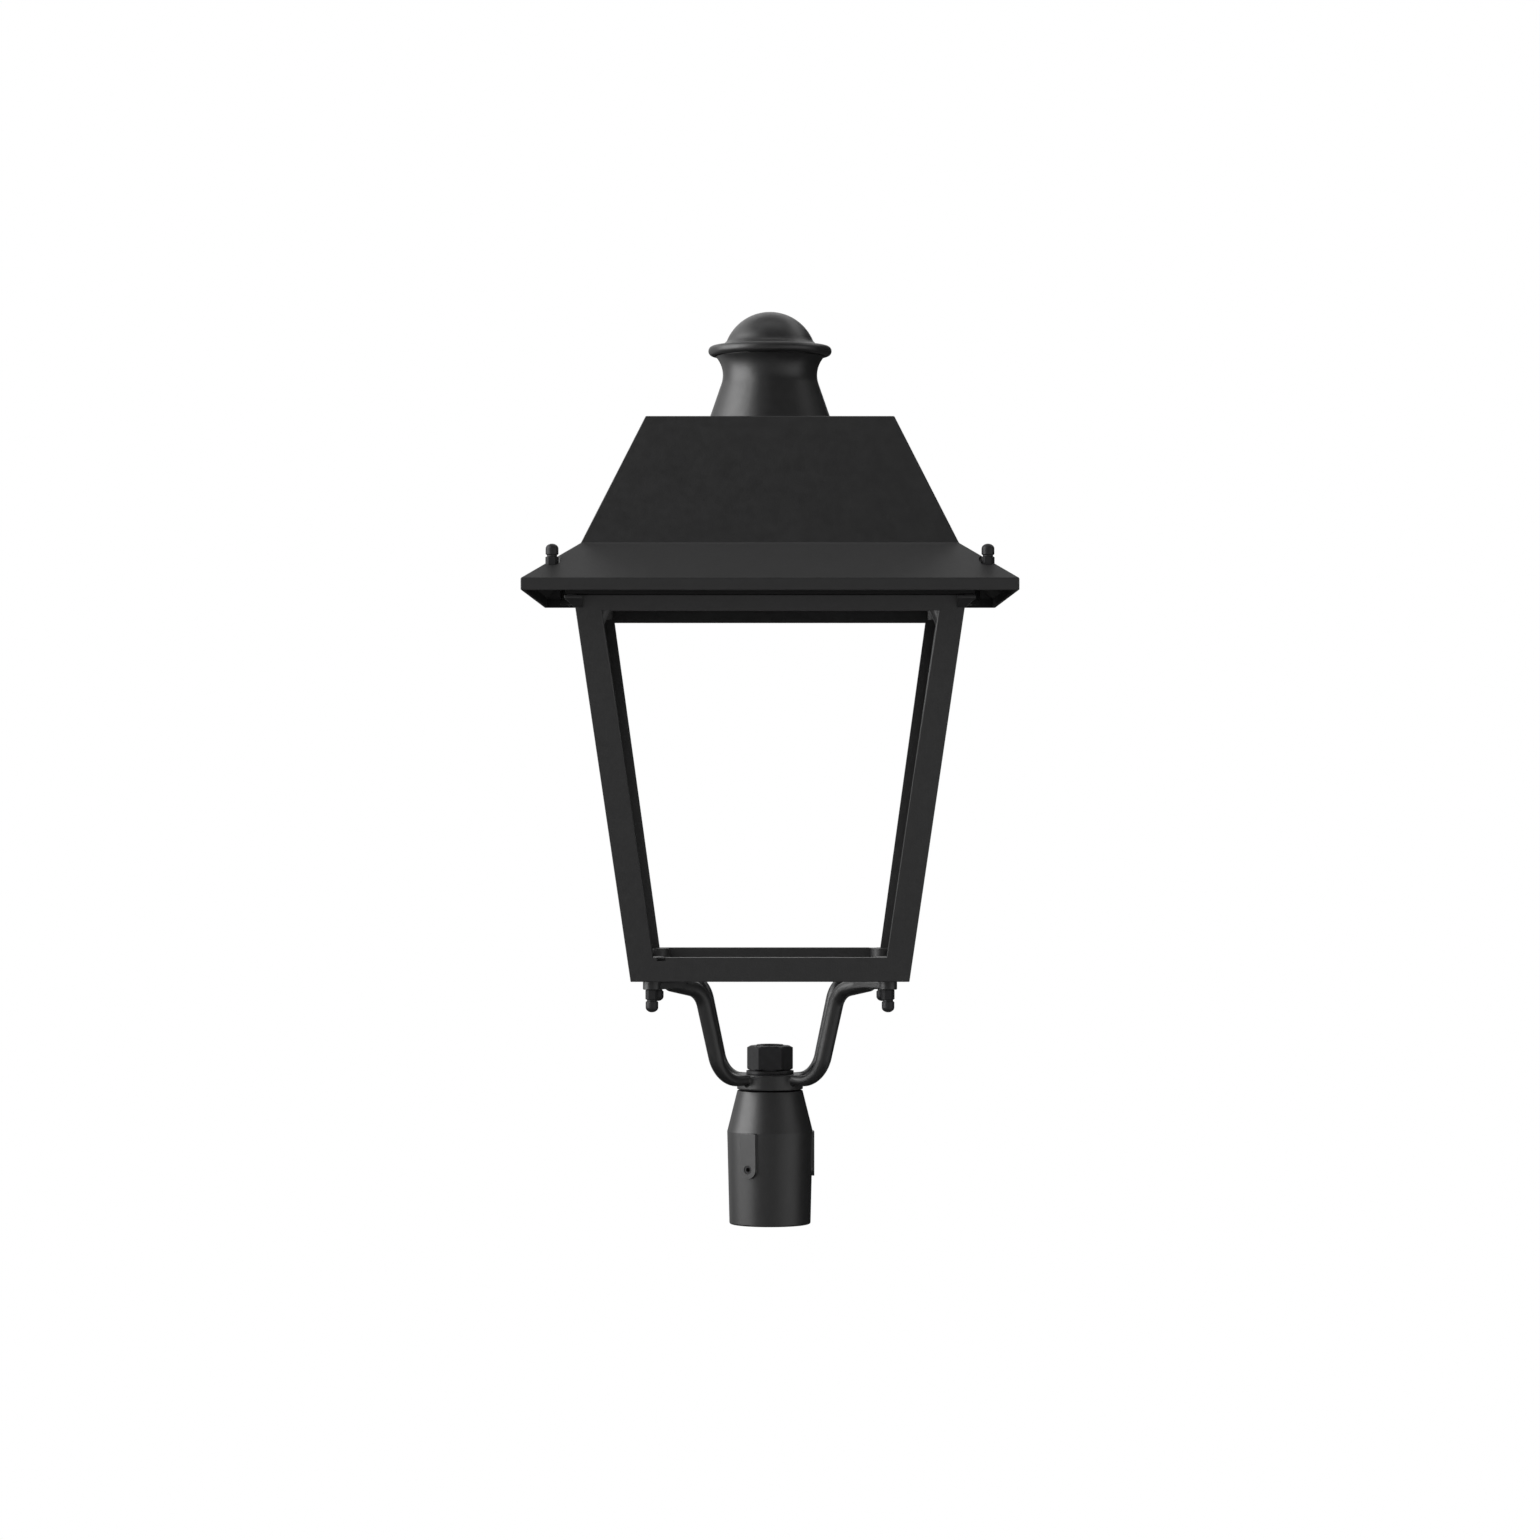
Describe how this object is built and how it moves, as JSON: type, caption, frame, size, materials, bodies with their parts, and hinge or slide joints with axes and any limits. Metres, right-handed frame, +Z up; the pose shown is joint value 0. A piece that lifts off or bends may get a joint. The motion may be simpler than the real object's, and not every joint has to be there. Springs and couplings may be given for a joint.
{
  "type": "post-top street lantern",
  "caption": "Four-sided open post-top street lantern with a hipped roof, chimney cap, leaning corner posts and a bent-rod fork on a post socket.",
  "frame": {"origin": "centre of the post socket's bottom rim, on the post's axis", "axes": "+Z up along the post's axis, -Y towards the viewer of the picture, +X to the viewer's right; the four sides face along X and Y, the fork's arms run along the diagonals"},
  "size_m": [0.43, 0.43, 0.8271],
  "materials": {
    "black_coat": "matte",
    "black_zinc": "satin",
    "zinc_steel": "satin",
    "black_rubber": "matte",
    "clear_glass": "gloss",
    "bare_aluminium": "satin",
    "white_board": "matte",
    "phosphor": "satin",
    "clear_plastic": "gloss",
    "driver_case": "satin",
    "surge_case": "satin",
    "terminal_plastic": "satin",
    "gland_plastic": "satin"
  },
  "bodies": {
    "post_mount": {"post_socket": "black_coat", "cable_nipple": "black_zinc", "collar_washer": "black_zinc", "lock_nut": "black_zinc"},
    "right_screw": {"clamp_screw_right": "black_zinc"},
    "back_screw": {"clamp_screw_back": "black_zinc"},
    "front_screw": {"clamp_screw_front": "black_zinc"},
    "roof": {"roof_cover": "black_coat", "roof_nuts": "black_zinc", "chimney_neck": "black_coat", "neck_screws": "zinc_steel", "chimney_cap": "black_coat", "cap_screw": "zinc_steel"},
    "lantern": {"spider_fork": "black_coat", "fork_studs": "zinc_steel", "fork_nuts": "black_zinc", "lantern_frame": "black_coat", "tray_gasket": "black_rubber", "gear_tray": "black_coat", "tray_screws": "zinc_steel", "roof_studs": "zinc_steel", "glass_gasket": "black_rubber", "glass_cover": "clear_glass", "heat_sink": "bare_aluminium", "sink_screws": "zinc_steel", "led_board": "white_board", "led_chips": "phosphor", "lens_array": "clear_plastic", "lens_screws": "zinc_steel", "lead_grommet": "black_rubber", "led_driver": "driver_case", "surge_protector": "surge_case", "terminal_block": "terminal_plastic", "gear_screws": "zinc_steel", "cable_gland": "gland_plastic", "gland_nut": "gland_plastic", "dc_lead": "black_rubber", "mains_leads": "black_rubber"}
  },
  "joints": [
    {"name": "head_swivel", "type": "hinge", "parent": "post_mount", "child": "lantern", "pos_m": [0, 0, 0.129], "axis": [0, 0, 1], "continuous": true},
    {"name": "roof_lift", "type": "slide", "parent": "lantern", "child": "roof", "axis": [0, 0, 1], "range_m": [0, 0.08]},
    {"name": "right_screw_feed", "type": "slide", "parent": "post_mount", "child": "right_screw", "axis": [-1, 0, 0], "range_m": [0, 0.003]},
    {"name": "back_screw_feed", "type": "slide", "parent": "post_mount", "child": "back_screw", "axis": [0.5, -0.866, 0], "range_m": [0, 0.003]},
    {"name": "front_screw_feed", "type": "slide", "parent": "post_mount", "child": "front_screw", "axis": [0.5, 0.866, 0], "range_m": [0, 0.003]}
  ]
}
